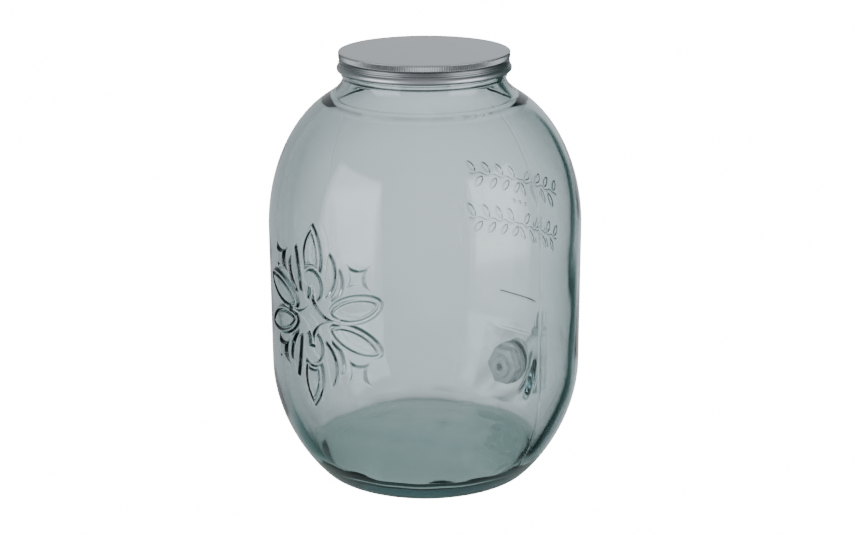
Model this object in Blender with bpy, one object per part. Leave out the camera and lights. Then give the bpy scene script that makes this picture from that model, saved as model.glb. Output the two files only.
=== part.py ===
"""A recycled glass drinks jar with a pressed ornament, a metal screw lid and a small tap.

Everything is in metres and +Z is up. The tap is on the front, at -Y, and the ornament is on the
back. The jar stands on Z = 0, and the object's box is centred on the Z axis. The one piece of glass
is kept as two solids, parted level with the foot of the shoulder, so that both stay open inside.
"""

import math

import bmesh
import bpy
from mathutils import Matrix, Vector

# Outer side of the glass, as radii and heights
BODY_RADIUS = 0.110
HEEL_RADIUS = 0.0735
SIDE_BOTTOM = 0.0814
SIDE_TOP = 0.180
SHOULDER_RADIUS = 0.0677
SHOULDER_TOP = 0.2718
NECK_RADIUS = 0.0562
NECK_BOTTOM = 0.2845
NECK_RING_RADIUS = 0.0574
NECK_RING_BOTTOM = 0.2862
NECK_RING_TOP = 0.2892
NECK_RING_SLOPE = 0.0008
FINISH_RADIUS = 0.0560
RIM_TOP = 0.3017
RIM_ROUND = 0.0012
PARTING_POINT = 2

# Pulls of the long curves on their ends, as radius and height where there are two
HEEL_PULL = (0.0037, 0.0005)
LOWER_PULL = 0.0462
SHOULDER_PULL = 0.0341
SHOULDER_END_PULL = (0.0288, -0.0179)
FILLET_LOW_PULL = (-0.0057, 0.0038)
FILLET_HIGH_PULL = (0.0016, -0.0059)

# Thickness, inside and underside of the glass
WALL = 0.0072
SHOULDER_WALL = 0.0065
MOUTH_RADIUS = 0.0500
THROAT_LOW_PULL = (-0.0073, 0.0045)
THROAT_HIGH_PULL = 0.0075
THROAT_HEIGHT = 0.0157
FLOOR_HEIGHT = 0.0140
FLOOR_DOME = 0.0012
FLOOR_CORNER = 0.0035
PUSH_UP_RADIUS = 0.0625
PUSH_UP_HEIGHT = 0.0035
PUSH_UP_SLOPE = 0.007
PUSH_UP_EDGE_HEIGHT = 0.0028

# Moulded flat for the tap, with a clear margin round its raised face
PAD_WIDTH = 0.046
PAD_BOTTOM = 0.0275
PAD_TOP = 0.0715
PAD_CORNER = 0.006
PAD_MARGIN = 0.0008
PAD_STEP = 0.0004
PAD_DEPTH = 0.035
PAD_REACH = 0.107
PAD_GLASS = 0.0075
SEAT_DIAMETER = 0.037
SEAT_PLUG = 0.004
TAP_HOLE = 0.017

# Relief on the glass, as the height it stands up and the depth it is rooted
RELIEF = 0.0013
RELIEF_ROOT = 0.0012
ORNAMENT_HEIGHT = 0.138

# One quarter of the ornament: base, tip, bend, half width and bluntness of each petal
BUD = ((0, 0.0185), (0, 0.0325), 0, 0.0085, 0.55)
LANCE = ((0, 0.034), (0, 0.063), 0, 0.0088, 0.95)
INNER_PETAL = ((0.010, 0.0155), (0.0145, 0.047), -0.0062, 0.0040, 0.8)
OUTER_PETAL = ((0.0145, 0.012), (0.0222, 0.0358), -0.0050, 0.0034, 0.8)
LOOP = ((0.0190, 0.0058), (0.0522, 0.0168), 0, 0.0078, 0.6)

# Its diamond and stars: reach of the points, and how hollow the sides are
DIAMOND_REACH = (0.019, 0.0165)
DIAMOND_HOLLOW = 0.42
STAR_CENTRE = (0.037, 0.033)
STAR_REACH = 0.0083
STAR_HOLLOW = 0.40

# Rows of leaves on the front
GARLAND_HEIGHTS = (0.190, 0.156)
GARLAND_LENGTH = 0.094
LEAVES_A_SIDE = 5
LEAF_ROOT = 0.0012
LEAF_TIP = 0.0085
LEAF_LEAN = 0.003
LEAF_HALF_WIDTH = 0.0021
LEAF_BLUNT = 0.8
LEAF_RELIEF = 0.0008

# Lid
TOTAL_HEIGHT = 0.3029
LID_HEIGHT = 0.0135
LID_RADIUS = 0.0591
LID_BEAD_RADIUS = 0.0603
LID_SHEET = 0.0009
LID_EDGE = 0.0007
LID_WAIST_RADIUS = 0.0586
LID_BAND_BOTTOM = 0.0043
LID_WAIST_TOP = 0.0052
LID_WAIST_BOTTOM = 0.0090
LID_BEAD_TOP = 0.0108
LID_CURL = 0.0012
LID_CORNER = 0.001

# Tap
TAP_HEIGHT = 0.0487
TAP_REACH = 0.040
SHANK_DIAMETER = 0.016
BARREL_DIAMETER = 0.0125
FLANGE_DIAMETER = 0.029
FLANGE_THICKNESS = 0.003
FLANGE_RIM = 0.0012
FLANGE_BEVEL = 0.003
WASHER_THICKNESS = 0.0025
WASHER_EDGE = 0.0004
NUT_DIAMETER = 0.0315
NUT_FLANGE = 0.0025
NUT_HEX = 0.026
NUT_HEIGHT = 0.010
SHANK_PAST_NUT = 0.0025
HOUSING_DIAMETER = 0.015
HOUSING_TOP = 0.0572
HOUSING_BOTTOM = 0.037
HOUSING_EDGE = 0.001
SPOUT_DIAMETER = 0.0105
SPOUT_TIP_DIAMETER = 0.0096
SPOUT_TOP = 0.033
SPOUT_BOTTOM = 0.0058
WATERWAY = 0.0064
CHAMBER_DIAMETER = 0.0102
CHAMBER_BOTTOM = 0.0405
KEY_CAP_HEIGHT = 0.0040
KEY_CAP_EDGE = 0.0015
KEY_TOP = 0.0772
KEY_FIN_WIDTH = 0.0078
KEY_FIN_THICKNESS = 0.0034
KEY_FIN_CORNER = 0.0032
KEY_PORT = 0.0054

# Space between touching pieces, and how far a joining or cutting solid runs past a face
GAP = 0.0003
OVERRUN = 0.002
MERGE = 0.000001

# Resolution of round shapes
BODY_SIDES = 60
TAP_SIDES = 24
PORT_SIDES = 16
INLET_SIDES = 18
SEAT_FACE_SIDES = 28
HEXAGON = 6
SMOOTH_ANGLE = math.radians(32)
FACET = math.tau / BODY_SIDES

# Small turns of round shapes about their own axes, so that their edges miss those they meet
HOLE_TWIST = math.radians(5)
INLET_TWIST = math.radians(4)
OUTLET_TWIST = math.radians(7)

FRONT_REACH = PAD_REACH + TAP_REACH + HOUSING_DIAMETER / 2
BACK_REACH = BODY_RADIUS + RELIEF
JAR_AXIS_Y = (FRONT_REACH - BACK_REACH) / 2
VALVE_Y = -(PAD_REACH + TAP_REACH)
SEAT_REACH = PAD_REACH - PAD_GLASS
LYING = (math.radians(90), 0, 0)


def clear_scene():
    for old in list(bpy.data.objects):
        bpy.data.objects.remove(old, do_unlink=True)


def finish_material(name, colour, roughness, metallic, transmission=0.0):
    material = bpy.data.materials.new(name)
    material.use_nodes = True
    shader = material.node_tree.nodes["Principled BSDF"]
    shader.inputs["Base Color"].default_value = (*colour, 1.0)
    shader.inputs["Roughness"].default_value = roughness
    shader.inputs["Metallic"].default_value = metallic
    shader.inputs["Transmission Weight"].default_value = transmission
    return material


def empty(name, place, parent=None):
    holder = bpy.data.objects.new(name, None)
    holder.location = place
    holder.parent = parent
    bpy.context.collection.objects.link(holder)
    return holder


def add_object(name, mesh, parent, material=None, place=(0, 0, 0), turn=(0, 0, 0)):
    data = bpy.data.meshes.new(name)
    mesh.to_mesh(data)
    mesh.free()
    data.shade_smooth()
    data.set_sharp_from_angle(angle=SMOOTH_ANGLE)
    made = bpy.data.objects.new(name, data)
    made.parent = parent
    made.location = place
    made.rotation_euler = turn
    if material:
        data.materials.append(material)
    bpy.context.collection.objects.link(made)
    return made


def shape(target, operation, name, mesh, place=(0, 0, 0), turn=(0, 0, 0)):
    """Joins a solid to the target, or cuts it out, and keeps it as a hidden guide."""
    guide = add_object(name, mesh, target.parent, None, place, turn)
    guide.hide_render = True
    guide.display_type = "WIRE"
    modifier = target.modifiers.new(name, "BOOLEAN")
    modifier.operation = operation
    modifier.object = guide


def moved(point, pull):
    return point[0] + pull[0], point[1] + pull[1]


def bezier(start, first, second, end, steps):
    """Points of a cubic curve, with both ends."""
    points = []
    for step in range(steps + 1):
        t = step / steps
        weights = ((1 - t) ** 3, 3 * (1 - t) ** 2 * t, 3 * (1 - t) * t**2, t**3)
        controls = (start, first, second, end)
        points.append(tuple(sum(w * c[i] for w, c in zip(weights, controls)) for i in (0, 1)))
    return points


def inset(points, thickness):
    """The curve that lies a wall's thickness inside an outer side that runs upwards."""
    inner = []
    for index, (radius, height) in enumerate(points):
        before = Vector(points[max(index - 1, 0)])
        after = Vector(points[min(index + 1, len(points) - 1)])
        along = (after - before).normalized()
        inner.append((radius - along.y * thickness, height + along.x * thickness))
    return inner


def turned(profile, sides, ring=False):
    """A profile of radius and height, turned about Z. A ring's profile is a closed loop."""
    mesh = bmesh.new()
    verts = [mesh.verts.new((radius, 0, height)) for radius, height in profile]
    edges = [mesh.edges.new(pair) for pair in zip(verts, verts[1:])]
    if ring:
        edges.append(mesh.edges.new((verts[-1], verts[0])))
    bmesh.ops.spin(
        mesh, geom=verts + edges, axis=(0, 0, 1), angle=math.tau, steps=sides, use_merge=True
    )
    bmesh.ops.remove_doubles(mesh, verts=mesh.verts, dist=MERGE)
    bmesh.ops.recalc_face_normals(mesh, faces=mesh.faces)
    return mesh


def spun(mesh, angle):
    """The mesh turned about Z, so that its edges miss those of what it meets."""
    bmesh.ops.rotate(mesh, matrix=Matrix.Rotation(angle, 3, "Z"), verts=mesh.verts)
    return mesh


def rod(diameter, bottom, top, sides=TAP_SIDES):
    radius = diameter / 2
    return turned([(0, bottom), (radius, bottom), (radius, top), (0, top)], sides)


def round_edges(mesh, edges, radius):
    bmesh.ops.bevel(
        mesh, geom=edges, offset=radius, affect="EDGES", segments=4, profile=0.5, material=-1
    )


def block(low, high):
    """A box between two corners."""
    mesh = bmesh.new()
    bmesh.ops.create_cube(mesh, size=1)
    low, high = Vector(low), Vector(high)
    bmesh.ops.scale(mesh, vec=high - low, verts=mesh.verts)
    bmesh.ops.translate(mesh, vec=(low + high) / 2, verts=mesh.verts)
    return mesh


def pad_block(half_width, bottom, top, front, back, corner):
    """An upright plate facing -Y with its four corners rounded."""
    plate = block((-half_width, front, bottom), (half_width, back, top))
    corners = [
        edge for edge in plate.edges if abs(edge.verts[0].co.y - edge.verts[1].co.y) > MERGE
    ]
    round_edges(plate, corners, corner)
    return plate


def lower_curve(steps):
    heel = (HEEL_RADIUS, 0)
    side = (BODY_RADIUS, SIDE_BOTTOM)
    return bezier(heel, moved(heel, HEEL_PULL), moved(side, (0, -LOWER_PULL)), side, steps)


def shoulder_curve(steps):
    side = (BODY_RADIUS, SIDE_TOP)
    top = (SHOULDER_RADIUS, SHOULDER_TOP)
    return bezier(side, moved(side, (0, SHOULDER_PULL)), moved(top, SHOULDER_END_PULL), top, steps)


def neck_fillet(steps):
    low = (SHOULDER_RADIUS, SHOULDER_TOP)
    high = (NECK_RADIUS, NECK_BOTTOM)
    return bezier(low, moved(low, FILLET_LOW_PULL), moved(high, FILLET_HIGH_PULL), high, steps)


def body_profile():
    """The outside of the glass, from the middle of the underside up to the parting."""
    under = [
        (0, PUSH_UP_HEIGHT),
        (PUSH_UP_RADIUS - PUSH_UP_SLOPE, PUSH_UP_EDGE_HEIGHT),
        (PUSH_UP_RADIUS, 0),
    ]
    side = shoulder_curve(9)[: PARTING_POINT + 1]
    return under + lower_curve(8) + side + [(0, side[-1][1])]


def shoulder_profile():
    """The outside of the glass, from the parting up and over the mouth."""
    side = shoulder_curve(9)[PARTING_POINT:]
    radius, parting = side[0]
    neck = [
        (NECK_RING_RADIUS, NECK_RING_BOTTOM),
        (NECK_RING_RADIUS, NECK_RING_TOP),
        (FINISH_RADIUS, NECK_RING_TOP + NECK_RING_SLOPE),
    ]
    rim = [
        (FINISH_RADIUS, RIM_TOP - RIM_ROUND),
        (FINISH_RADIUS - RIM_ROUND, RIM_TOP),
        (0, RIM_TOP),
    ]
    foot = [(0, parting + GAP), (radius, parting + GAP)]
    return foot + side[1:] + neck_fillet(4)[1:] + neck + rim


def cavity_profile():
    """The free space inside the glass, out past the mouth."""
    lower = [point for point in inset(lower_curve(9), WALL) if point[1] > FLOOR_HEIGHT]
    shoulder = inset(shoulder_curve(8), SHOULDER_WALL)
    last = shoulder[-1]
    neck = (MOUTH_RADIUS, last[1] + THROAT_HEIGHT)
    throat = bezier(last, moved(last, THROAT_LOW_PULL), moved(neck, (0, -THROAT_HIGH_PULL)), neck, 3)
    floor = [(0, FLOOR_HEIGHT + FLOOR_DOME), (lower[0][0] - FLOOR_CORNER, FLOOR_HEIGHT)]
    flared = MOUTH_RADIUS + RIM_ROUND
    mouth = [
        (MOUTH_RADIUS, RIM_TOP - RIM_ROUND),
        (flared, RIM_TOP + GAP),
        (flared, RIM_TOP + OVERRUN),
        (0, RIM_TOP + OVERRUN),
    ]
    return floor + lower + shoulder + throat[1:] + mouth


def side_radius(height):
    """Radius of the outer side at a height between the heel and the top of the shoulder."""
    side = lower_curve(40) + shoulder_curve(40)
    for (radius_a, height_a), (radius_b, height_b) in zip(side, side[1:]):
        if height_a <= height <= height_b:
            share = (height - height_a) / max(height_b - height_a, MERGE)
            return radius_a + (radius_b - radius_a) * share
    raise ValueError("the height is off the side of the jar")


def on_side(along, height, lift):
    """A point on the front of the jar's side, given by its arc to the right and its height."""
    turn = along / BODY_RADIUS
    radius = side_radius(height) + lift
    return Vector((radius * math.sin(turn), -radius * math.cos(turn), height))


def add_pad(relief, cells, place, lift):
    """A grid laid on the jar's side by place(x, y) and thickened into a raised pad."""
    made = bmesh.ops.create_grid(relief, x_segments=cells[0], y_segments=cells[1], size=1)
    verts = made["verts"]
    flat = {vert: place(vert.co.x, vert.co.y) for vert in verts}
    for vert, (along, height) in flat.items():
        vert.co = on_side(along, height, -RELIEF_ROOT)
    faces = list({face for vert in verts for face in vert.link_faces})
    grown = bmesh.ops.extrude_face_region(relief, geom=faces, use_keep_orig=True)["geom"]
    for vert in [item for item in grown if isinstance(item, bmesh.types.BMVert)]:
        outward = Vector((vert.co.x, vert.co.y, 0)).normalized()
        vert.co += outward * (lift + RELIEF_ROOT)


def petal(outline, side, up, middle):
    """Place of a petal's points: x runs from base to tip, y from edge to edge."""
    base, tip, bend, half_width, blunt = outline
    base = Vector((base[0] * side, base[1] * up))
    tip = Vector((tip[0] * side, tip[1] * up))
    across = Vector((base.y - tip.y, tip.x - base.x)).normalized()
    control = (base + tip) / 2 + across * bend * side * up

    def place(x, y):
        t = (x + 1) / 2
        spine = base * (1 - t) ** 2 + control * 2 * t * (1 - t) + tip * t**2
        width = half_width * max(math.sin(math.pi * t), 0) ** blunt
        point = spine + across * y * width
        return point.x, middle + point.y

    return place


def star(centre, reach, hollow, middle):
    """Place of the points of a four-cornered star with hollow sides."""

    def place(x, y):
        scale = 1 - hollow * (1 - abs(x * y))
        return centre[0] + x * scale * reach, middle + centre[1] + y * scale * reach

    return place


def diamond(reach, hollow, middle):
    """Place of the points of a star whose corners point up, down and to the sides."""

    def place(x, y):
        scale = 1 - hollow * (1 - abs(x * y))
        return (x - y) / 2 * scale * reach[0], middle + (x + y) / 2 * scale * reach[1]

    return place


def ornament():
    """A symmetric flower: a hollow-sided diamond, petals above and below, loops and four stars."""
    relief = bmesh.new()
    middle = ORNAMENT_HEIGHT
    add_pad(relief, (6, 6), diamond(DIAMOND_REACH, DIAMOND_HOLLOW, middle), RELIEF)
    for up in (1, -1):
        add_pad(relief, (6, 2), petal(BUD, 1, up, middle), RELIEF)
        add_pad(relief, (6, 2), petal(LANCE, 1, up, middle), RELIEF)
        for side in (1, -1):
            corner = (STAR_CENTRE[0] * side, STAR_CENTRE[1] * up)
            add_pad(relief, (6, 2), petal(INNER_PETAL, side, up, middle), RELIEF)
            add_pad(relief, (5, 2), petal(OUTER_PETAL, side, up, middle), RELIEF)
            add_pad(relief, (8, 2), petal(LOOP, side, up, middle), RELIEF)
            add_pad(relief, (4, 4), star(corner, STAR_REACH, STAR_HOLLOW, middle), RELIEF)
    bmesh.ops.remove_doubles(relief, verts=relief.verts, dist=MERGE)
    bmesh.ops.recalc_face_normals(relief, faces=relief.faces)
    return relief


def garlands():
    """Two plain rows of leaves on the front, above the tap, the same to the left and right."""
    relief = bmesh.new()
    pitch = GARLAND_LENGTH / 2 / LEAVES_A_SIDE
    for height in GARLAND_HEIGHTS:
        for index in range(LEAVES_A_SIDE):
            up = 1 if index % 2 else -1
            root = ((index + 0.5) * pitch - LEAF_LEAN, LEAF_ROOT)
            tip = ((index + 0.5) * pitch + LEAF_LEAN, LEAF_TIP)
            outline = (root, tip, 0, LEAF_HALF_WIDTH, LEAF_BLUNT)
            for side in (1, -1):
                add_pad(relief, (3, 2), petal(outline, side, up, height), LEAF_RELIEF)
    bmesh.ops.remove_doubles(relief, verts=relief.verts, dist=MERGE)
    bmesh.ops.recalc_face_normals(relief, faces=relief.faces)
    return relief


def add_tap_pad(jar):
    """The flat facet that the tap bears on, cut a little back round its raised face."""
    half = PAD_WIDTH / 2
    facet = pad_block(
        half + PAD_MARGIN,
        PAD_BOTTOM,
        PAD_TOP + PAD_MARGIN,
        -PAD_REACH - PAD_DEPTH,
        -PAD_REACH + PAD_STEP,
        PAD_CORNER + PAD_MARGIN,
    )
    boss = pad_block(half, PAD_BOTTOM, PAD_TOP, -PAD_REACH, -PAD_REACH + PAD_DEPTH, PAD_CORNER)
    shape(jar, "DIFFERENCE", "pad_facet", facet)
    shape(jar, "UNION", "pad_boss", boss)


def add_tap_seat(jar):
    """The flat ring inside the wall for the nut, and the hole through the wall."""
    place = (0, 0, TAP_HEIGHT)
    plug = rod(SEAT_DIAMETER - OVERRUN, SEAT_REACH - SEAT_PLUG, SEAT_REACH + SEAT_PLUG)
    face = rod(SEAT_DIAMETER, SEAT_REACH - SEAT_DIAMETER / 2, SEAT_REACH, SEAT_FACE_SIDES)
    hole = spun(rod(TAP_HOLE, SEAT_REACH - SEAT_PLUG, PAD_REACH + SEAT_PLUG), HOLE_TWIST)
    shape(jar, "UNION", "seat_plug", plug, place, LYING)
    shape(jar, "DIFFERENCE", "seat_face", face, place, LYING)
    shape(jar, "DIFFERENCE", "tap_hole", hole, place, LYING)


def hollow(target):
    """Cuts the free space inside the glass out of one of its solids."""
    cavity = spun(turned(cavity_profile(), BODY_SIDES), FACET * 3 / 4)
    shape(target, "DIFFERENCE", "cavity", cavity)


def make_jar(axis, glass):
    outside = spun(turned(body_profile(), BODY_SIDES), FACET / 4)
    jar = add_object("glass_jar", outside, axis, glass)
    add_tap_pad(jar)
    hollow(jar)
    add_tap_seat(jar)
    shape(jar, "UNION", "ornament", ornament(), turn=(0, 0, math.pi))
    shape(jar, "UNION", "garlands", garlands())
    upper = spun(turned(shoulder_profile(), BODY_SIDES), FACET / 4)
    hollow(add_object("glass_shoulder", upper, axis, glass))


def make_lid(axis, metal):
    """A rolled sheet cap: a band, a waist, and a bead with its edge curled under."""
    top = TOTAL_HEIGHT
    bottom = TOTAL_HEIGHT - LID_HEIGHT
    inner = LID_WAIST_RADIUS - LID_SHEET
    outside = [
        (0, top),
        (LID_RADIUS - LID_EDGE, top),
        (LID_RADIUS, top - LID_EDGE),
        (LID_RADIUS, top - LID_BAND_BOTTOM),
        (LID_WAIST_RADIUS, top - LID_WAIST_TOP),
        (LID_WAIST_RADIUS, top - LID_WAIST_BOTTOM),
        (LID_BEAD_RADIUS, top - LID_BEAD_TOP),
        (LID_BEAD_RADIUS, bottom + LID_CURL),
        (LID_BEAD_RADIUS - LID_CURL, bottom),
    ]
    inside = [
        (inner, bottom),
        (inner, top - LID_SHEET - LID_CORNER),
        (inner - LID_CORNER, top - LID_SHEET),
        (0, top - LID_SHEET),
    ]
    add_object("lid", turned(outside + inside, BODY_SIDES), axis, metal)


def washer(inner, outer, start, end):
    """A flat ring about Z with its outer edges eased."""
    profile = [
        (inner / 2, start),
        (outer / 2 - WASHER_EDGE, start),
        (outer / 2, start + WASHER_EDGE),
        (outer / 2, end - WASHER_EDGE),
        (outer / 2 - WASHER_EDGE, end),
        (inner / 2, end),
    ]
    return turned(profile, TAP_SIDES, ring=True)


def make_tap_fixings(axis, rubber, plastic):
    """The two washers and the nut that clamp the tap to the wall, as distances from the axis."""
    place = (0, 0, TAP_HEIGHT)
    hole = SHANK_DIAMETER + 2 * GAP
    outside = PAD_REACH + GAP
    inside = SEAT_REACH - GAP
    outer_ring = washer(hole, FLANGE_DIAMETER, outside, outside + WASHER_THICKNESS)
    inner_ring = washer(hole, NUT_DIAMETER, inside - WASHER_THICKNESS, inside)
    add_object("tap_washer_outer", outer_ring, axis, rubber, place, LYING)
    add_object("tap_washer_inner", inner_ring, axis, rubber, place, LYING)
    nut_face = inside - WASHER_THICKNESS - GAP
    nut_end = nut_face - NUT_HEIGHT
    across_corners = NUT_HEX / math.cos(math.pi / HEXAGON)
    hexagon = rod(across_corners, nut_end, nut_face - NUT_FLANGE / 2, HEXAGON)
    clearance = rod(hole, nut_end - OVERRUN, nut_face + OVERRUN)
    flange = rod(NUT_DIAMETER, nut_face - NUT_FLANGE, nut_face)
    nut = add_object("tap_nut", flange, axis, plastic, place, LYING)
    shape(nut, "UNION", "nut_hexagon", hexagon, place, LYING)
    shape(nut, "DIFFERENCE", "nut_hole", clearance, place, LYING)
    return nut_end - SHANK_PAST_NUT


def make_tap_body(axis, plastic, shank_end):
    """Shank, flange, barrel, valve housing and spout in one piece, with the way through it."""
    flange_back = PAD_REACH + 2 * GAP + WASHER_THICKNESS
    flange_front = flange_back + FLANGE_THICKNESS
    barrel_end = PAD_REACH + TAP_REACH - OVERRUN
    housing_radius = HOUSING_DIAMETER / 2
    housing = [
        (0, SPOUT_BOTTOM),
        (SPOUT_TIP_DIAMETER / 2, SPOUT_BOTTOM),
        (SPOUT_DIAMETER / 2, SPOUT_TOP),
        (housing_radius - HOUSING_EDGE, HOUSING_BOTTOM),
        (housing_radius, HOUSING_BOTTOM + OVERRUN),
        (housing_radius, HOUSING_TOP - HOUSING_EDGE),
        (housing_radius - HOUSING_EDGE, HOUSING_TOP),
        (0, HOUSING_TOP),
    ]
    barrel = [
        (0, shank_end),
        (SHANK_DIAMETER / 2, shank_end),
        (SHANK_DIAMETER / 2, flange_back),
        (FLANGE_DIAMETER / 2, flange_back),
        (FLANGE_DIAMETER / 2, flange_back + FLANGE_RIM),
        (FLANGE_DIAMETER / 2 - FLANGE_BEVEL, flange_front),
        (BARREL_DIAMETER / 2, flange_front + HOUSING_EDGE),
        (BARREL_DIAMETER / 2, barrel_end),
        (0, barrel_end),
    ]
    valve = (0, VALVE_Y, 0)
    across = (0, 0, TAP_HEIGHT)
    chamber = rod(CHAMBER_DIAMETER, CHAMBER_BOTTOM, HOUSING_TOP + OVERRUN)
    inlet_end = PAD_REACH + TAP_REACH - CHAMBER_DIAMETER / 4
    inlet = spun(rod(WATERWAY, shank_end - OVERRUN, inlet_end, INLET_SIDES), INLET_TWIST)
    outlet_top = CHAMBER_BOTTOM + OVERRUN
    outlet = spun(rod(WATERWAY, SPOUT_BOTTOM - OVERRUN, outlet_top, PORT_SIDES), OUTLET_TWIST)
    body = add_object("tap_body", turned(housing, TAP_SIDES), axis, plastic, valve)
    shape(body, "UNION", "barrel", turned(barrel, TAP_SIDES), across, LYING)
    shape(body, "DIFFERENCE", "chamber", chamber, valve)
    shape(body, "DIFFERENCE", "inlet", inlet, across, LYING)
    shape(body, "DIFFERENCE", "outlet", outlet, valve)


def key_fin(bottom, top):
    """The upright blade that is turned by hand, with its two upper corners rounded."""
    half_width = KEY_FIN_WIDTH / 2
    half_thickness = KEY_FIN_THICKNESS / 2
    fin = block((-half_width, -half_thickness, bottom), (half_width, half_thickness, top))
    corners = []
    for edge in fin.edges:
        first, second = edge.verts[0].co, edge.verts[1].co
        is_upper = min(first.z, second.z) > top - MERGE
        if is_upper and abs(first.x - second.x) < MERGE:
            corners.append(edge)
    round_edges(fin, corners, KEY_FIN_CORNER)
    return fin


def make_tap_key(axis, plastic):
    """The plug that turns in the housing, with its cap and fin, about its own origin."""
    hinge = empty("tap_key_axis", (0, VALVE_Y, HOUSING_TOP), axis)
    cap_top = GAP + KEY_CAP_HEIGHT
    cap_radius = HOUSING_DIAMETER / 2
    plug_radius = CHAMBER_DIAMETER / 2 - GAP
    plug_bottom = CHAMBER_BOTTOM + GAP - HOUSING_TOP
    port_height = TAP_HEIGHT - HOUSING_TOP
    plug = [
        (0, plug_bottom),
        (plug_radius, plug_bottom),
        (plug_radius, GAP),
        (cap_radius, GAP),
        (cap_radius, cap_top - KEY_CAP_EDGE),
        (cap_radius - KEY_CAP_EDGE, cap_top),
        (0, cap_top),
    ]
    port_down = rod(KEY_PORT, plug_bottom - OVERRUN, port_height, PORT_SIDES)
    port_side = rod(KEY_PORT, -plug_radius - OVERRUN, 0, PORT_SIDES)
    key = add_object("tap_key", turned(plug, TAP_SIDES), hinge, plastic)
    shape(key, "UNION", "fin", key_fin(cap_top - KEY_CAP_EDGE, KEY_TOP - HOUSING_TOP))
    shape(key, "DIFFERENCE", "port_down", port_down)
    sideways = (0, math.radians(-90), 0)
    shape(key, "DIFFERENCE", "port_side", port_side, (0, 0, port_height), sideways)


def main():
    clear_scene()
    glass = finish_material("recycled_glass", (0.62, 0.72, 0.71), 0.03, 0.0, transmission=1.0)
    metal = finish_material("brushed_lid_metal", (0.55, 0.56, 0.57), 0.38, 1.0)
    plastic = finish_material("silver_plastic", (0.50, 0.51, 0.52), 0.35, 0.6)
    rubber = finish_material("washer_rubber", (0.70, 0.71, 0.69), 0.6, 0.0)
    axis = empty("jar_axis", (0, JAR_AXIS_Y, 0))
    make_jar(axis, glass)
    make_lid(axis, metal)
    shank_end = make_tap_fixings(axis, rubber, plastic)
    make_tap_body(axis, plastic, shank_end)
    make_tap_key(axis, plastic)


main()
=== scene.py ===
import math

import bmesh
import bpy
import numpy as np
from mathutils import Matrix, Vector


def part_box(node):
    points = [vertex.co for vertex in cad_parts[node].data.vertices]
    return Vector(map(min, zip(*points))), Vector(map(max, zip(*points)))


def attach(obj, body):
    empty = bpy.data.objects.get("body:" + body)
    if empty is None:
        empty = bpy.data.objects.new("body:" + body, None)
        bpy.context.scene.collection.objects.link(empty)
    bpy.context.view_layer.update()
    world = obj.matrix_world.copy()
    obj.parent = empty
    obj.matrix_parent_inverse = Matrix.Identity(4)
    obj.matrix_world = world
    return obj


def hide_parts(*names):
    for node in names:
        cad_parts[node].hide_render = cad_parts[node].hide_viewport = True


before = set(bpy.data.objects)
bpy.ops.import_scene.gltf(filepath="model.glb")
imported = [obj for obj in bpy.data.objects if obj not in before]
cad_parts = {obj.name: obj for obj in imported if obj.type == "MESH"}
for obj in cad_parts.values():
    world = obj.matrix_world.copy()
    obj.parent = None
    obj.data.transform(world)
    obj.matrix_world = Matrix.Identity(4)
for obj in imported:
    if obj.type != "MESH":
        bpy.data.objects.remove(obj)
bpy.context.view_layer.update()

# The jar's own upright axis in the frame, in metres, with the tap at -Y
AXIS_Y = (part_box("lid")[0].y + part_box("lid")[1].y) / 2
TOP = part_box("lid")[1].z

# Outer side of the glass, as radii and heights
BODY_RADIUS = 0.110
HEEL_RADIUS = 0.0735
SIDE_BOTTOM = 0.0814
SIDE_TOP = 0.180
SHOULDER_RADIUS = 0.0677
SHOULDER_TOP = 0.2718
NECK_RADIUS = 0.0562
NECK_BOTTOM = 0.2845
NECK_RING_RADIUS = 0.0574
NECK_RING_FOOT = 0.2855
NECK_RING_BOTTOM = 0.2866
NECK_RING_TOP = 0.2886
FINISH_RADIUS = 0.0560
FINISH_BOTTOM = 0.2902
RIM_TOP = 0.3017
RIM_ROUNDING = 0.0018
WALL = 0.0072
SHOULDER_WALL = 0.0065
MOUTH_RADIUS = 0.0500
FLOOR_HEIGHT = 0.0140
PUSH_UP_RADIUS = 0.0640
PUSH_UP_HEIGHT = 0.0024
FLOOR_RING = 0.0570
FLOOR_EDGE = 0.0700
FLOOR_CORNER_TOP = 0.0215
GLASS_SIDES = 128

# The moulded flat that the tap is clamped to
PAD_WIDTH = 0.046
PAD_BOTTOM = 0.0275
PAD_TOP = 0.0715
PAD_REACH = 0.107
SEAT_REACH = 0.0995
TAP_HEIGHT = 0.0487
TAP_HOLE = 0.017
LYING = Matrix.Rotation(math.radians(90), 4, "X")


def bezier(start, first, second, end, steps):
    """A curve from start to end that is drawn to two other points."""
    t = np.linspace(0, 1, steps + 1)[:, None]
    points = [np.array(p, float) for p in (start, first, second, end)]
    weights = ((1 - t) ** 3, 3 * (1 - t) ** 2 * t, 3 * (1 - t) * t**2, t**3)
    return sum(w * p for w, p in zip(weights, points))


def inset(points, thickness):
    """The curve a wall's thickness inside one that runs up the outside."""
    along = np.gradient(points, axis=0)
    along /= np.linalg.norm(along, axis=1)[:, None]
    return points + thickness * np.stack([-along[:, 1], along[:, 0]], 1)


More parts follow.
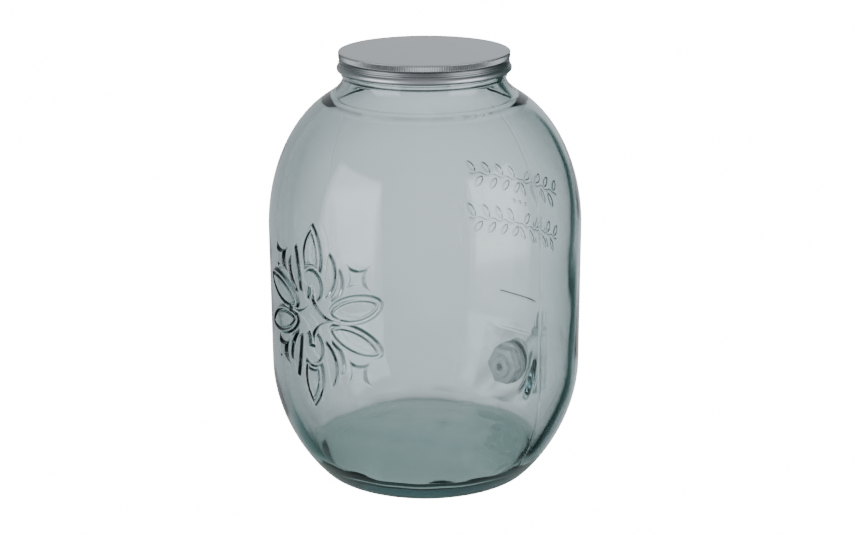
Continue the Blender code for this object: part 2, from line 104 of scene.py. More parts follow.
LOWER = bezier(
    (HEEL_RADIUS, 0), (HEEL_RADIUS + 0.0037, 0.0005), (BODY_RADIUS, SIDE_BOTTOM - 0.0462),
    (BODY_RADIUS, SIDE_BOTTOM), 200,
)
SHOULDER = bezier(
    (BODY_RADIUS, SIDE_TOP), (BODY_RADIUS, SIDE_TOP + 0.0341),
    (SHOULDER_RADIUS + 0.0288, SHOULDER_TOP - 0.0179), (SHOULDER_RADIUS, SHOULDER_TOP), 200,
)
NECK = bezier(
    (SHOULDER_RADIUS, SHOULDER_TOP), (SHOULDER_RADIUS - 0.0057, SHOULDER_TOP + 0.0038),
    (NECK_RADIUS + 0.0016, NECK_BOTTOM - 0.0059), (NECK_RADIUS, NECK_BOTTOM), 80,
)
SIDE_LINE = np.concatenate([LOWER, SHOULDER, NECK])
INNER_SIDE = np.concatenate([inset(LOWER, WALL), inset(SHOULDER, SHOULDER_WALL)])


def thinned(points, spacing):
    """The same curve with its points an even distance apart."""
    steps = np.linalg.norm(np.diff(points, axis=0), axis=1)
    run = np.concatenate([[0], np.cumsum(steps)])
    count = max(int(round(run[-1] / spacing)), 2)
    marks = np.linspace(0, run[-1], count + 1)
    return np.stack([np.interp(marks, run, points[:, 0]), np.interp(marks, run, points[:, 1])], 1)


def outer_line():
    """Half the outside of the glass, from the middle of the underside up to the top of the rim."""
    dome = bezier(
        (0, PUSH_UP_HEIGHT), (PUSH_UP_RADIUS * 0.45, PUSH_UP_HEIGHT),
        (PUSH_UP_RADIUS * 0.55, 0), (PUSH_UP_RADIUS, 0), 60,
    )
    foot = np.array([(0.0660, 0.0), (0.0690, 0.0), (0.0715, 0.0)])
    side = np.array([(BODY_RADIUS, SIDE_BOTTOM), (BODY_RADIUS, SIDE_TOP)])
    ring = NECK_RING_RADIUS
    ring_foot = bezier(
        (NECK_RADIUS, NECK_BOTTOM), (NECK_RADIUS, NECK_RING_FOOT),
        (ring - 0.0003, NECK_RING_FOOT + 0.0002), (ring, NECK_RING_BOTTOM), 8,
    )
    ring_top = bezier(
        (ring, NECK_RING_TOP), (ring, NECK_RING_TOP + 0.0008),
        (FINISH_RADIUS + 0.0002, NECK_RING_TOP + 0.0008), (FINISH_RADIUS, FINISH_BOTTOM), 6,
    )
    rim = bezier(
        (FINISH_RADIUS, RIM_TOP - RIM_ROUNDING), (FINISH_RADIUS, RIM_TOP - 0.0004),
        (FINISH_RADIUS - 0.0010, RIM_TOP), (0.0530, RIM_TOP), 8,
    )
    parts = [
        thinned(dome, 0.0025), foot, thinned(LOWER, 0.0045)[1:],
        thinned(side, 0.0050)[1:], thinned(SHOULDER, 0.0045)[1:], thinned(NECK, 0.0013)[1:],
        ring_foot[1:], ring_top, rim,
    ]
    return np.concatenate(parts)


def inner_line():
    """Half the inside of the glass, from the middle of the floor up to the top of the rim."""
    lower = inset(LOWER, WALL)
    lower = lower[lower[:, 1] > FLOOR_CORNER_TOP]
    corner = lower[0]
    floor = bezier(
        (0, FLOOR_HEIGHT + PUSH_UP_HEIGHT), (0.026, FLOOR_HEIGHT + PUSH_UP_HEIGHT),
        (0.033, FLOOR_HEIGHT), (FLOOR_EDGE, FLOOR_HEIGHT), 60,
    )
    floor_corner = bezier(
        (FLOOR_EDGE, FLOOR_HEIGHT), (FLOOR_EDGE + 0.0065, FLOOR_HEIGHT),
        (corner[0] - 0.0034, corner[1] - 0.0047), corner, 40,
    )
    shoulder = inset(SHOULDER, SHOULDER_WALL)
    neck_wall = np.linspace(SHOULDER_WALL, NECK[-1][0] - MOUTH_RADIUS, len(NECK))
    throat = inset(NECK, neck_wall[:, None])
    lip = bezier(
        (MOUTH_RADIUS, RIM_TOP - RIM_ROUNDING), (MOUTH_RADIUS, RIM_TOP - 0.0004),
        (MOUTH_RADIUS + 0.0010, RIM_TOP), (0.0520, RIM_TOP), 8,
    )
    side = np.array([lower[-1], shoulder[0]])
    parts = [
        thinned(floor, 0.004), thinned(floor_corner, 0.0012)[1:], thinned(lower, 0.0055)[1:],
        thinned(side, 0.006)[1:-1], thinned(shoulder, 0.0055), thinned(throat, 0.002)[1:], lip,
    ]
    return np.concatenate(parts)


def new_object(name, mesh, body, material, replaces, angle=None):
    """A smooth piece on a body, in place of the solids that it stands for."""
    data = bpy.data.meshes.new(name)
    mesh.to_mesh(data)
    mesh.free()
    data.shade_smooth()
    if angle is not None:
        data.set_sharp_from_angle(angle=math.radians(angle))
    made = bpy.data.objects.new(name, data)
    bpy.context.collection.objects.link(made)
    data.materials.append(material)
    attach(made, body)
    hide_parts(*replaces)
    return made


def spun_line(mesh, line, sides):
    """Turns a line of radii and heights once round the upright axis."""
    verts = [mesh.verts.new((r, 0, z)) for r, z in line]
    edges = [mesh.edges.new(pair) for pair in zip(verts, verts[1:])]
    bmesh.ops.spin(
        mesh, geom=verts + edges, axis=(0, 0, 1), angle=math.tau, steps=sides, use_merge=True
    )
    bmesh.ops.remove_doubles(mesh, verts=mesh.verts, dist=0.000001)


# Shader expressions


class Signal:
    """A shader value that adds Math nodes when it is used in an expression."""

    def __init__(self, nodes, socket):
        self.nodes = nodes
        self.socket = socket

    def math(self, operation, *others, flip=False):
        values = [self, *others]
        if flip:
            values.reverse()
        return self.nodes.node("ShaderNodeMath", {"operation": operation}, dict(enumerate(values)))

    def __add__(self, other):
        return self.math("ADD", other)

    def __sub__(self, other):
        return self.math("SUBTRACT", other)

    def __rsub__(self, other):
        return self.math("SUBTRACT", other, flip=True)

    def __mul__(self, other):
        return self.math("MULTIPLY", other)

    def __truediv__(self, other):
        return self.math("DIVIDE", other)

    __radd__ = __add__
    __rmul__ = __mul__

    def clamped(self, low, high):
        return self.math("MAXIMUM", low).math("MINIMUM", high)


def fill_ramp(ramp, stops):
    """Sets a ramp's stops, each with a place and a grey."""
    while len(ramp.elements) < len(stops):
        ramp.elements.new(0.5)
    for element, (place, grey) in zip(ramp.elements, stops):
        element.position = place
        element.color = (grey, grey, grey, 1)


class Finish:
    """A material's or the world's nodes, made by one method."""

    def __init__(self, owner):
        owner.use_nodes = True
        self.owner = owner
        self.tree = owner.node_tree
        self.tree.nodes.clear()

    def node(self, kind, settings=None, inputs=None, output=0):
        """Makes a node, sets or links its inputs, and gives back one output."""
        made = self.tree.nodes.new(kind)
        for name, value in (settings or {}).items():
            if name == "stops":
                fill_ramp(made.color_ramp, value)
            else:
                setattr(made, name, value)
        for name, value in (inputs or {}).items():
            if isinstance(value, Signal):
                self.tree.links.new(value.socket, made.inputs[name])
            else:
                made.inputs[name].default_value = value
        return Signal(self, made.outputs[output]) if made.outputs else None


def object_place(nodes, scale):
    """The place on a piece, in metres, stretched along its axes."""
    place = nodes.node("ShaderNodeTexCoord", output="Object")
    inputs = {"Vector": place, "Scale": scale}
    return nodes.node("ShaderNodeMapping", {"vector_type": "POINT"}, inputs)


def noise(nodes, place, scale, detail=2.0):
    """Soft mottling between 0 and 1."""
    return nodes.node(
        "ShaderNodeTexNoise", None, {"Vector": place, "Scale": scale, "Detail": detail}, "Fac"
    )


def bumped(nodes, height, strength, distance):
    """The surface direction after fine relief of a height between 0 and 1."""
    return nodes.node(
        "ShaderNodeBump", None, {"Height": height, "Strength": strength, "Distance": distance}
    )


def tinted(nodes, share, dark, light):
    """A colour between two others."""
    return nodes.node(
        "ShaderNodeMix", {"data_type": "RGBA"}, {0: share, 6: (*dark, 1), 7: (*light, 1)}, 2
    )


# The glass, whose colour comes from the depth that light crosses

GLASS_TINT = (0.267, 0.517, 0.533, 1.0)
GLASS_DENSITY = 30.0
WAVES_PER_METRE = 38.0
WAVE_STRENGTH = 0.6
WAVE_DEPTH = 0.0002


def glass_finish():
    """Clear grey-green glass, coloured by its depth, with faint waves in its surface."""
    nodes = Finish(bpy.data.materials.new("jar_glass_finish"))
    waves = noise(nodes, object_place(nodes, (1, 1, 0.6)), WAVES_PER_METRE, 1.0)
    shader = nodes.node(
        "ShaderNodeBsdfPrincipled", None,
        {
            "Base Color": (1, 1, 1, 1), "Roughness": 0.0, "IOR": 1.5,
            "Transmission Weight": 1.0,
            "Normal": bumped(nodes, waves, WAVE_STRENGTH, WAVE_DEPTH),
        },
    )
    depth = nodes.node(
        "ShaderNodeVolumeAbsorption", None, {"Color": GLASS_TINT, "Density": GLASS_DENSITY}
    )
    nodes.node("ShaderNodeOutputMaterial", None, {"Surface": shader, "Volume": depth})
    return nodes.owner


# Moulded relief, in metres. A petal has a base, a tip, a bend, a half width and a bluntness

ORNAMENT_HEIGHT = 0.138
RELIEF = 0.0016
BEVEL = 0.0017
OUTLINE_GROWTH = 0.0005
GROOVE = 0.0007
BUD_HEIGHT = 0.0215
BUD_REACH = (0.0093, 0.0115)
LANCE_HEIGHT = 0.0420
LANCE_REACH = (0.0095, 0.0225)
INNER_PETAL = ((0.0110, 0.0150), (0.0160, 0.047), -0.0066, 0.0042, 0.7)
OUTER_PETAL = ((0.0160, 0.0130), (0.0235, 0.0372), -0.0054, 0.0036, 0.7)
LOOP = ((0.0165, 0.0055), (0.0525, 0.0175), -0.0015, 0.0100, 0.5)
DIAMOND_REACH = (0.0215, 0.0185)
STAR_CENTRE = (0.037, 0.033)
STAR_REACH = 0.0086
GARLAND_HEIGHTS = (0.190, 0.156)
LEAF_PITCH = 0.0118
LEAVES_A_SIDE = 4
LEAF_RELIEF = 0.0011
RIDGE_HEIGHT = 0.100
RIDGE_REACH = 0.018
DOTS_HEIGHT = 0.173
DOT_PITCH = 0.007
DOT_RADIUS = 0.0017
SEAM_RELIEF = 0.00014
SEAM_WIDTH = 0.0007
SEAM_TURN = math.radians(2.8)
RIPPLE = 0.00008
SWIRL = 0.0002
FLOOR_RING_HEIGHT = 0.00016
FLOOR_RING_WIDTH = 0.0028
SKIN = 0.003


def petal_distance(x, y, petal):
    """Distance outside a petal, as the envelope of circles along its bent spine."""
    base, tip, bend, half_width, blunt = petal
    base, tip = np.array(base), np.array(tip)
    along = tip - base
    across = np.array([-along[1], along[0]]) / np.hypot(*along)
    control = (base + tip) / 2 + across * bend
    nearest = np.full(x.shape, 1.0)
    for t in np.linspace(0.01, 0.99, 25):
        spot = base * (1 - t) ** 2 + control * 2 * t * (1 - t) + tip * t**2
        width = half_width * np.sin(np.pi * t) ** blunt
        nearest = np.minimum(nearest, np.hypot(x - spot[0], y - spot[1]) - width)
    return nearest


def hollow_diamond(x, y):
    """Distance outside a diamond whose four sides curve in."""
    x, y = x / DIAMOND_REACH[0], y / DIAMOND_REACH[1]
    side = 0.96 - np.hypot(x - 0.97, y - 0.97)
    return np.maximum(side, np.maximum(x, y) - 1) * sum(DIAMOND_REACH) / 2


def hollow_star(x, y):
    """Distance outside a square whose four sides curve in."""
    x, y = np.abs(x - STAR_CENTRE[0]) / STAR_REACH, np.abs(y - STAR_CENTRE[1]) / STAR_REACH
    sides = 1.45 - np.minimum(np.hypot(x - 2.05, y), np.hypot(x, y - 2.05))
    return np.maximum(sides, np.maximum(x, y) - 1) * STAR_REACH


def pointed_lance(x, y):
    """Distance outside the lens between two arcs that meet at its tips."""
    half_width, half_length = LANCE_REACH
    radius = (half_length**2 + half_width**2) / (2 * half_width)
    return np.hypot(x + radius - half_width, y - LANCE_HEIGHT) - radius


def round_bud(x, y):
    """Distance outside an upright oval."""
    across, along = BUD_REACH
    return (np.hypot(x / across, (y - BUD_HEIGHT) / along) - 1) * (across + along) / 2


def raised(distance, width):
    """A rounded step from 0 outside an outline to 1 a bevel's width inside it."""
    t = np.clip(-distance / width, 0, 1)
    return t * t * (3 - 2 * t)


def ornament(x, y):
    """Height of the flower, with x round the back of the jar and y up from its middle."""
    x, y = np.abs(x), np.abs(y)
    behind = np.full(x.shape, 1.0)
    height = np.zeros(x.shape)
    loop = petal_distance(x, y, LOOP)
    layers = (
        hollow_diamond(x, y), round_bud(x, y), loop, pointed_lance(x, y),
        petal_distance(x, y, INNER_PETAL), petal_distance(x, y, OUTER_PETAL), hollow_star(x, y),
    )
    for layer in layers:
        shown = np.maximum(layer - OUTLINE_GROWTH, GROOVE - behind)
        height = np.maximum(height, raised(shown, BEVEL))
        behind = np.minimum(behind, layer - OUTLINE_GROWTH)
    inlaid = np.minimum(loop, np.maximum(pointed_lance(x, y), -round_bud(x, y)))
    channel = np.exp(-(((inlaid + 0.0036) / 0.0008) ** 2))
    return height * (1 - 0.75 * channel) * RELIEF


def garlands(x, z):
    """Height of the leaves, three dots and a ridge on the front, the same to the left and right."""
    x = np.abs(x)
    height = np.zeros(x.shape)
    for row in GARLAND_HEIGHTS:
        stem = np.abs(z - row - 0.0009 * np.sin(x / LEAF_PITCH * np.pi * 2))
        stem = np.maximum(stem - 0.0009, x - LEAF_PITCH * LEAVES_A_SIDE)
        height = np.maximum(height, raised(stem, 0.0009) * 0.8)
        for index in range(2 * LEAVES_A_SIDE):
            up = 1 if index % 2 else -1
            middle = (index + 0.5) * LEAF_PITCH / 2
            leaf = ((middle - 0.0024, 0.0012), (middle + 0.0040, 0.0112), 0, 0.0027, 0.8)
            height = np.maximum(height, raised(petal_distance(x, (z - row) * up, leaf), 0.0013))
    for place in (0, DOT_PITCH):
        dot = np.hypot(x - place, z - DOTS_HEIGHT) - DOT_RADIUS
        height = np.maximum(height, raised(dot, 0.0012))
    ridge = np.maximum(np.abs(z - RIDGE_HEIGHT) - 0.0010, x - RIDGE_REACH)
    height = np.maximum(height, raised(ridge, 0.0010))
    return height * LEAF_RELIEF


def pad_share(x, z):
    """How far the wall is drawn to the flat of the tap pad, which has a sharper upper edge."""
    beside = raised(np.abs(x) - PAD_WIDTH / 2 - 0.009, 0.015)
    above = raised(z - PAD_TOP - 0.001, 0.0020)
    below = raised(PAD_BOTTOM - 0.010 - z, 0.020)
    return beside * above * below


def refine(mesh, cuts, wanted, round_only=False):
    """Cuts the faces of the outer side that are wanted into a finer grid."""
    faces = [face for face in mesh.faces if abs(face.normal.z) < 0.9]
    centres = np.array([face.calc_center_median() for face in faces])
    radius = np.hypot(centres[:, 0], centres[:, 1])
    outside = radius > np.interp(centres[:, 2], SIDE_LINE[:, 1], SIDE_LINE[:, 0]) - SKIN
    chosen = outside & wanted(centres[:, 0], centres[:, 1], centres[:, 2])
    edges = {edge for face, take in zip(faces, chosen) if take for edge in face.edges}
    if round_only:
        edges = {edge for edge in edges if abs(edge.verts[0].co.z - edge.verts[1].co.z) < 0.0001}
    bmesh.ops.subdivide_edges(mesh, edges=list(edges), cuts=cuts, use_grid_fill=True)


def back_arc(x, y):
    """Distance round the jar from the middle of its back."""
    return BODY_RADIUS * np.arctan2(x, y)


def front_arc(x, y):
    """Distance round the jar from the middle of its front."""
    return BODY_RADIUS * np.arctan2(x, -y)


def near_ornament(x, y, z):
    """Whether a place is beside an edge of the flower, where the grid has to be fine."""
    arc = back_arc(x, y)
    near = (np.abs(arc) < 0.066) & (np.abs(z - ORNAMENT_HEIGHT) < 0.072)
    places = arc[near], z[near] - ORNAMENT_HEIGHT
    edge = np.zeros(places[0].shape, bool)
    reach = 0.0030
    for dx in (-reach, 0, reach):
        for dz in (-reach, 0, reach):
            height = ornament(places[0] + dx, places[1] + dz)
            edge |= (height > 0) & (height < 0.97 * RELIEF)
    near[near] = edge
    return near


def near_garlands(x, y, z):
    """Whether a place is on one of the rows of leaves."""
    arc = np.abs(front_arc(x, y))
    in_rows = sum(np.abs(z - row) < 0.0135 for row in GARLAND_HEIGHTS) > 0
    in_ridge = (np.abs(z - RIDGE_HEIGHT) < 0.004) & (arc < RIDGE_REACH + 0.003)
    in_dots = (np.abs(z - DOTS_HEIGHT) < 0.004) & (arc < DOT_PITCH + 0.004)
    return (arc < 0.052) & in_rows | in_ridge | in_dots


def near_pad(x, y, z):
    """Whether a place is on the tap pad or its borders."""
    return (np.abs(x) < 0.034) & (y < 0) & (z > 0.018) & (z < 0.082)


def off_seam(x, y):
    """Distance from the upright plane that the mould parts on."""
    return y * math.cos(SEAM_TURN) + x * math.sin(SEAM_TURN)


def near_seams(x, y, z):
    """Whether a place is beside one of the two seams."""
    return (np.abs(off_seam(x, y)) < 0.0055) & (z > 0.003) & (z < 0.275)


def mould(points):
    """Moves the turned glass to its moulded shape: relief, seams, tap pad, seat and ripples."""
    x, y, z = points.T
    radius = np.hypot(x, y)
    line = np.interp(z, SIDE_LINE[:, 1], SIDE_LINE[:, 0])
    inner = np.interp(z, INNER_SIDE[:, 1], INNER_SIDE[:, 0])
    on_side = (z > 0.012) & (z < NECK_BOTTOM) & (radius > line - SKIN)
    on_inside = (z > 0.021) & (z < 0.2700) & (radius > inner - 0.0025) & ~on_side
    angle = np.arctan2(y, x)
    relief = np.zeros(x.shape)
    decorated = on_side & (y > 0)
    relief[decorated] = ornament(back_arc(x, y)[decorated], z[decorated] - ORNAMENT_HEIGHT)
    relief += garlands(front_arc(x, y), z) * (y < 0)
    relief += SEAM_RELIEF * np.exp(-((off_seam(x, y) / SEAM_WIDTH) ** 2)) * (z > 0.02)
    ripple = RIPPLE * (
        np.sin(5 * angle + 22 * z) + np.sin(9 * angle - 61 * z + 1)
        + np.sin(3 * angle + 118 * z + 2)
    )
    new_radius = np.where(on_side, line + relief, np.where(on_inside, inner + ripple, radius))
    scale = new_radius / np.maximum(radius, 0.00001)
    x, y = x * scale, y * scale
    facing = (y < 0) & (z > 0.016)
    flat = pad_share(x, z) * (on_side & facing)
    y = y + (-PAD_REACH - y) * flat
    seat = raised(np.hypot(x, z - TAP_HEIGHT) - 0.0285, 0.012) * (on_inside & facing)
    y = y + (-SEAT_REACH - y) * seat
    on_floor = (z > 0.012) & (z < 0.021) & ~on_side
    swirl = SWIRL * (
        np.sin(90 * x + 40 * y) + np.sin(150 * y - 60 * x + 2) + np.sin(210 * x + 130 * y + 1)
    )
    ring = FLOOR_RING_HEIGHT * np.exp(-(((np.hypot(x, y) - FLOOR_RING) / FLOOR_RING_WIDTH) ** 2))
    z = z + (swirl + ring) * on_floor
    return np.stack([x, y, z], 1)


def make_glass():
    """The whole moulded glass in one piece, with the hole for the tap."""
    mesh = bmesh.new()
    line = np.concatenate([outer_line(), inner_line()[::-1]])
    spun_line(mesh, line, GLASS_SIDES)
    refine(mesh, 9, near_ornament)
    refine(mesh, 7, near_garlands)
    refine(mesh, 4, near_pad)
    refine(mesh, 9, near_seams, round_only=True)
    bmesh.ops.recalc_face_normals(mesh, faces=mesh.faces)
    for vert, place in zip(mesh.verts, mould(np.array([vert.co for vert in mesh.verts]))):
        vert.co = place
    bmesh.ops.translate(mesh, vec=(0, AXIS_Y, 0), verts=mesh.verts)
    glass = new_object(
        "jar_glass", mesh, "jar", glass_finish(), ["glass_jar", "glass_shoulder"]
    )
    drill = bmesh.new()
    bmesh.ops.create_cone(
        drill, cap_ends=True, segments=96, radius1=TAP_HOLE / 2, radius2=TAP_HOLE / 2, depth=0.03
    )
    cut_away(glass, drill, Matrix.Translation((0, AXIS_Y - PAD_REACH + 0.004, TAP_HEIGHT)) @ LYING)
    return glass


def cut_away(target, tool_mesh, place):
    """Cuts a tool's shape out of a piece and keeps the result as its mesh."""
    bmesh.ops.transform(tool_mesh, matrix=place, verts=tool_mesh.verts)
    data = bpy.data.meshes.new("cutter")
    tool_mesh.to_mesh(data)
    tool_mesh.free()
    tool = bpy.data.objects.new("cutter", data)
    bpy.context.collection.objects.link(tool)
    cut = target.modifiers.new("cut", "BOOLEAN")
    cut.operation = "DIFFERENCE"
    cut.solver = "MANIFOLD"
    cut.object = tool
    shaped = target.evaluated_get(bpy.context.evaluated_depsgraph_get())
    result = bpy.data.meshes.new_from_object(shaped)
    target.modifiers.clear()
    target.data = result
    bpy.data.objects.remove(tool)


def rounded(points, times):
    """A line with its corners cut, twice as finely each time, and its ends kept."""
    for _ in range(times):
        near = points[:-1] * 0.75 + points[1:] * 0.25
        far = points[:-1] * 0.25 + points[1:] * 0.75
        middle = np.stack([near, far], 1).reshape(-1, 2)
        points = np.concatenate([points[:1], middle, points[-1:]])
    return points


# The lid's section, as radii and depths below its top, in millimetres

LID_OUTSIDE = (
    (55.0, 0.0), (58.3, 0.0), (59.0, 0.35), (59.1, 0.8), (59.1, 4.1), (58.9, 4.6), (58.45, 5.3),
    (58.45, 6.6), (58.9, 7.2), (58.95, 7.8), (58.6, 8.4), (58.7, 9.0), (59.7, 9.9), (60.3, 11.0),
    (60.3, 12.2), (59.9, 13.1), (59.1, 13.5), (58.3, 13.3), (58.0, 12.6),
)
LID_INSIDE = ((57.8, 12.2), (57.75, 1.8), (57.2, 1.0), (55.0, 0.9))
LID_DEPTH = 13.5 / 1000

# How bright the lid's colour is painted at depths below its top, in metres: painted shade darkens
# its knurl and grooves, while its top and bead stay lighter

LID_PAINTED_SHADE = (
    (0.0, 1.0), (0.0005, 1.0), (0.0010, 0.46), (0.0040, 0.44), (0.0050, 0.38), (0.0068, 0.42),
    (0.0080, 0.62), (0.0090, 0.55), (0.0104, 0.85), (0.0122, 0.95), (0.0135, 0.5),
)
TEETH = 231
TOOTH_DEPTH = 0.00042
KNURL_RADIUS = 0.0582
KNURL_TOP = 0.0004
KNURL_BOTTOM = 0.0046
KNURL_FADE = 0.0006


def make_lid():
    """A rolled sheet cap with a knurled band under its edge."""
    mesh = bmesh.new()
    section = rounded(np.array(LID_OUTSIDE + LID_INSIDE) / 1000, 2)
    line = np.stack([section[:, 0], TOP - section[:, 1]], 1)
    spun_line(mesh, line, TEETH * 4)
    open_edges = [edge for edge in mesh.edges if edge.is_boundary]
    bmesh.ops.holes_fill(mesh, edges=open_edges, sides=0)
    bmesh.ops.recalc_face_normals(mesh, faces=mesh.faces)
    for vert in mesh.verts:
        depth = TOP - vert.co.z
        radius = math.hypot(vert.co.x, vert.co.y)
        if radius > KNURL_RADIUS and KNURL_TOP < depth < KNURL_BOTTOM:
            ease = min(1, (depth - KNURL_TOP) / KNURL_FADE, (KNURL_BOTTOM - depth) / KNURL_FADE)
            tooth = 0.5 - 0.5 * math.cos(TEETH * math.atan2(vert.co.y, vert.co.x))
            scale = 1 - TOOTH_DEPTH * tooth * ease / radius
            vert.co.x *= scale
            vert.co.y *= scale
    bmesh.ops.translate(mesh, vec=(0, AXIS_Y, 0), verts=mesh.verts)
    return new_object("screw_lid", mesh, "jar", lid_finish(), ["lid"], 40)


# The tap and its washers: edges sharper than 34 degrees are rounded

EDGE_ROUNDING = 0.00035
SHARP_EDGE = 0.6
SMOOTH_BELOW = 34


def soften(node, name, body, finish):
    """A tap piece over its solid, with its flat facets joined and its edges rounded."""
    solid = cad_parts[node]
    mesh = bmesh.new()
    mesh.from_mesh(solid.data)
    mesh.transform(solid.matrix_world)
    bmesh.ops.remove_doubles(mesh, verts=mesh.verts, dist=0.00002)
    bmesh.ops.dissolve_limit(mesh, angle_limit=math.radians(3), verts=mesh.verts, edges=mesh.edges)
    edges = [edge for edge in mesh.edges if edge.calc_face_angle(0) > SHARP_EDGE]
    bmesh.ops.bevel(
        mesh, geom=edges, offset=EDGE_ROUNDING, offset_type="OFFSET", affect="EDGES",
        segments=2, profile=0.5, material=-1, clamp_overlap=True,
    )
    bmesh.ops.recalc_face_normals(mesh, faces=mesh.faces)
    return new_object(name, mesh, body, finish, [node], SMOOTH_BELOW)


def lid_finish():
    """Dull brushed steel with fine straight lines, soft clouds of wear, and painted shade in its
    knurl and grooves.
    """
    nodes = Finish(bpy.data.materials.new("brushed_lid_steel"))
    lines = noise(nodes, object_place(nodes, (900, 25, 60)), 1.0, 3.0)
    clouds = noise(nodes, object_place(nodes, (1, 1, 1)), 45.0)
    height = nodes.node("ShaderNodeSeparateXYZ", None, {0: object_place(nodes, (1, 1, 1))}, "Z")
    stops = [(depth / LID_DEPTH, level) for depth, level in LID_PAINTED_SHADE]
    shade = nodes.node("ShaderNodeValToRGB", {"stops": stops}, {0: (TOP - height) / LID_DEPTH})
    # Painted shade by depth below the top, mottled by clouds of wear
    shade_and_wear = shade * (0.88 + 0.12 * clouds)
    shader = nodes.node(
        "ShaderNodeBsdfPrincipled", None,
        {
            "Base Color": tinted(nodes, shade_and_wear, (0, 0, 0), (0.60, 0.60, 0.61)),
            "Metallic": 1.0, "Roughness": 0.29 + 0.07 * lines + 0.06 * clouds,
            "Normal": bumped(nodes, lines, 0.25, 0.00003),
        },
    )
    nodes.node("ShaderNodeOutputMaterial", None, {"Surface": shader})
    return nodes.owner


def tap_finish():
    """Pale silver-grey moulded plastic with a faint grain and flow marks."""
    nodes = Finish(bpy.data.materials.new("silver_tap_plastic"))
    grain = noise(nodes, object_place(nodes, (1, 1, 1)), 1800.0)
    flow = noise(nodes, object_place(nodes, (1, 1, 0.4)), 70.0, 3.0)
    shader = nodes.node(
        "ShaderNodeBsdfPrincipled", None,
        {
            "Base Color": tinted(nodes, flow, (0.86, 0.87, 0.88), (0.94, 0.95, 0.96)),
            "Metallic": 0.0, "Roughness": 0.24 + 0.10 * flow,
            "Coat Weight": 0.3, "Coat Roughness": 0.12,
            "Normal": bumped(nodes, grain, 0.15, 0.00004),
        },
    )
    nodes.node("ShaderNodeOutputMaterial", None, {"Surface": shader})
    return nodes.owner


def washer_finish():
    """Milky soft rubber, faintly mottled."""
    nodes = Finish(bpy.data.materials.new("washer_rubber"))
    mottle = noise(nodes, object_place(nodes, (1, 1, 1)), 260.0, 3.0)
    shader = nodes.node(
        "ShaderNodeBsdfPrincipled", None,
        {
            "Base Color": tinted(nodes, mottle, (0.70, 0.72, 0.71), (0.80, 0.81, 0.79)),
            "Roughness": 0.45 + 0.15 * mottle, "Normal": bumped(nodes, mottle, 0.2, 0.00005),
        },
    )
    nodes.node("ShaderNodeOutputMaterial", None, {"Surface": shader})
    return nodes.owner


# Soft studio light round the jar, by the angle right of the photograph's line of sight, in degrees

VIEW_AZIMUTH = math.radians(223)
BACKDROP = (
    (-180, 0.62), (-150, 0.58), (-95, 0.45), (-72, 0.36), (-56, 0.32), (-46, 0.44), (-38, 0.56),
    (-28, 0.59), (-17, 0.65), (-12, 0.72), (-8, 0.84), (-4, 0.95), (0, 1.02), (4, 1.05),
    (8, 0.97), (12, 0.91), (20, 0.90), (25, 0.78), (29, 0.24), (33, 0.09), (56, 0.10),
    (72, 0.22), (100, 0.42), (150, 0.58), (180, 0.62),
)
BY_HEIGHT = (
    (-90, 0.20), (-41, 0.21), (-35, 0.38), (-30, 0.62), (-25, 0.74), (-21, 0.88), (-17, 0.99),
    (-12, 0.98), (-8, 0.89), (0, 0.83), (12, 0.80), (30, 0.72), (60, 0.90), (90, 1.0),
)
STUDIO_TINT = (0.93, 1.0, 1.04)
DIM_TINT = (0.50, 1.0, 0.94)
CARD_LIGHT = 3.0
# Painted shadow on the floor under the jar, a dim greenish glow for rays other than the camera's,
# fading out between the radii of SHADE_EDGE
FLOOR_SHADE = (0.34, 0.42, 0.41, 1.0)
PAPER_WHITE = 16.0
FLOOR_RADIUS = 6
FLOOR_GAP = 0.0003
SHADE_EDGE = (0.086, 0.100)
CARD_SIDES = (98, 101, 142, 145)
CARD_HEIGHTS = (-20, -14, 30, 34)


def smooth_step(value, low, high):
    """A soft step of a shader value, from 0 at low to 1 at high."""
    t = ((value - low) / (high - low)).clamped(0, 1)
    return t * t * (3 - 2 * t)


def within(value, edges):
    """1 between two soft edges and 0 outside them, from where each edge starts and ends."""
    return smooth_step(value, *edges[:2]) * (1 - smooth_step(value, *edges[2:]))


def by_angle(nodes, angle, stops):
    """A ramp over an angle in degrees from -180 to 180."""
    places = [((degrees + 180) / 360, level / 2) for degrees, level in stops]
    return nodes.node("ShaderNodeValToRGB", {"stops": places}, {0: angle / 360 + 0.5}) * 2


def white_to_camera(nodes, unseen, output):
    """White paper where the camera looks past the jar, and another shader for other rays."""
    camera_ray = nodes.node("ShaderNodeLightPath")
    kind = "ShaderNodeBackground" if output == "ShaderNodeOutputWorld" else "ShaderNodeEmission"
    paper = nodes.node(kind, None, {"Color": (1, 1, 1, 1), "Strength": PAPER_WHITE})
    both = nodes.node("ShaderNodeMixShader", None, {0: camera_ray, 1: unseen, 2: paper})
    nodes.node(output, None, {"Surface": both})


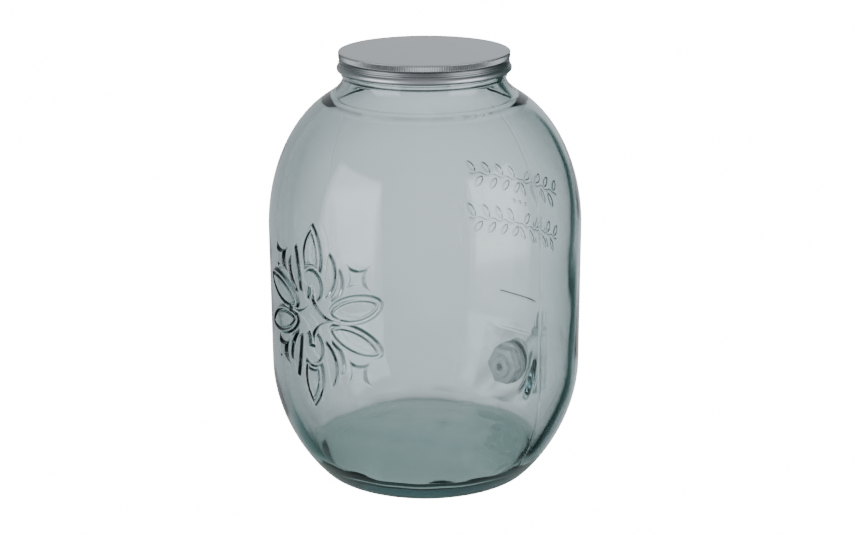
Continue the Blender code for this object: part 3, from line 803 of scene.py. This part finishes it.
def set_floor():
    """Clear paper under the jar, with a painted shadow beneath it, a dim greenish glow that shows
    through its foot.
    """
    mesh = bmesh.new()
    bmesh.ops.create_circle(mesh, cap_ends=True, radius=FLOOR_RADIUS, segments=96)
    bmesh.ops.translate(mesh, vec=(0, AXIS_Y, -FLOOR_GAP), verts=mesh.verts)
    data = bpy.data.meshes.new("floor")
    mesh.to_mesh(data)
    mesh.free()
    floor = bpy.data.objects.new("floor", data)
    bpy.context.collection.objects.link(floor)
    nodes = Finish(bpy.data.materials.new("floor_paper"))
    place = nodes.node("ShaderNodeTexCoord", output="Object")
    reach = nodes.node(
        "ShaderNodeVectorMath", {"operation": "DISTANCE"}, {0: place, 1: (0, AXIS_Y, 0)}, "Value"
    )
    # The painted shadow under the jar, glowing for rays other than the camera's
    shade = nodes.node("ShaderNodeEmission", None, {"Color": FLOOR_SHADE, "Strength": 1.0})
    clear = nodes.node("ShaderNodeBsdfTransparent")
    open_floor = smooth_step(reach, *SHADE_EDGE)
    unseen = nodes.node("ShaderNodeMixShader", None, {0: open_floor, 1: shade, 2: clear})
    white_to_camera(nodes, unseen, "ShaderNodeOutputMaterial")
    data.materials.append(nodes.owner)


def set_studio():
    """The light that the glass bends, with a white card on each side behind the viewer."""
    world = bpy.data.worlds.new("studio")
    bpy.context.scene.world = world
    nodes = Finish(world)
    ray = nodes.node("ShaderNodeTexCoord", output="Generated")
    right = (math.cos(VIEW_AZIMUTH), math.sin(VIEW_AZIMUTH), 0)
    away = (-math.sin(VIEW_AZIMUTH), math.cos(VIEW_AZIMUTH), 0)

    def along(axis):
        inputs = {0: ray, 1: axis}
        return nodes.node("ShaderNodeVectorMath", {"operation": "DOT_PRODUCT"}, inputs, "Value")

    degree = 180 / math.pi
    azimuth = along(right).math("ARCTAN2", along(away)) * degree
    height = along((0, 0, 1)).math("ARCSINE") * degree
    heights = [(degrees * 2, share) for degrees, share in BY_HEIGHT]
    level = by_angle(nodes, azimuth, BACKDROP) * by_angle(nodes, height * 2, heights)
    aside = azimuth.math("ABSOLUTE")
    card = within(aside, CARD_SIDES) * within(height, CARD_HEIGHTS)
    level = level + card * CARD_LIGHT
    colour = tinted(nodes, smooth_step(level, 0, 0.45), DIM_TINT, STUDIO_TINT)
    unseen = nodes.node("ShaderNodeBackground", None, {"Color": colour, "Strength": level})
    white_to_camera(nodes, unseen, "ShaderNodeOutputWorld")


def set_camera():
    """The photograph's viewpoint, measured from the jar's axis."""
    azimuth = VIEW_AZIMUTH
    pitch = 0.3013
    distance = 1.1789
    height = 0.5131
    aim_right = 0.00127
    roll = 0.0050
    lens = 73.09
    right = Vector((math.cos(azimuth), math.sin(azimuth), 0))
    away = Vector((-math.sin(azimuth), math.cos(azimuth), 0))
    upright = Vector((0, 0, 1))
    forward = away * math.cos(pitch) - upright * math.sin(pitch) + right * aim_right
    forward.normalize()
    level = forward.cross(upright).normalized()
    lift = level.cross(forward)
    right = level * math.cos(roll) - lift * math.sin(roll)
    up = lift * math.cos(roll) + level * math.sin(roll)
    data = bpy.data.cameras.new("camera")
    data.lens = lens
    data.sensor_width = 36
    camera = bpy.data.objects.new("camera", data)
    camera.matrix_world = Matrix((right, up, -forward)).transposed().to_4x4()
    camera.location = Vector((0, AXIS_Y, height)) - away * distance
    bpy.context.collection.objects.link(camera)
    bpy.context.scene.camera = camera


set_floor()
set_studio()
set_camera()
make_glass()
make_lid()
plastic = tap_finish()
rubber = washer_finish()
for node, name, body, material, slot in (
    ("tap_nut", "hexagon_nut", "jar", plastic, "tap_plastic"),
    ("tap_body", "tap_with_spout", "jar", plastic, "tap_plastic"),
    ("tap_key", "turning_key", "key", plastic, "tap_plastic"),
    ("tap_washer_outer", "outer_washer", "jar", rubber, "washer_rubber"),
    ("tap_washer_inner", "inner_washer", "jar", rubber, "washer_rubber"),
):
    soften(node, name, body, material)
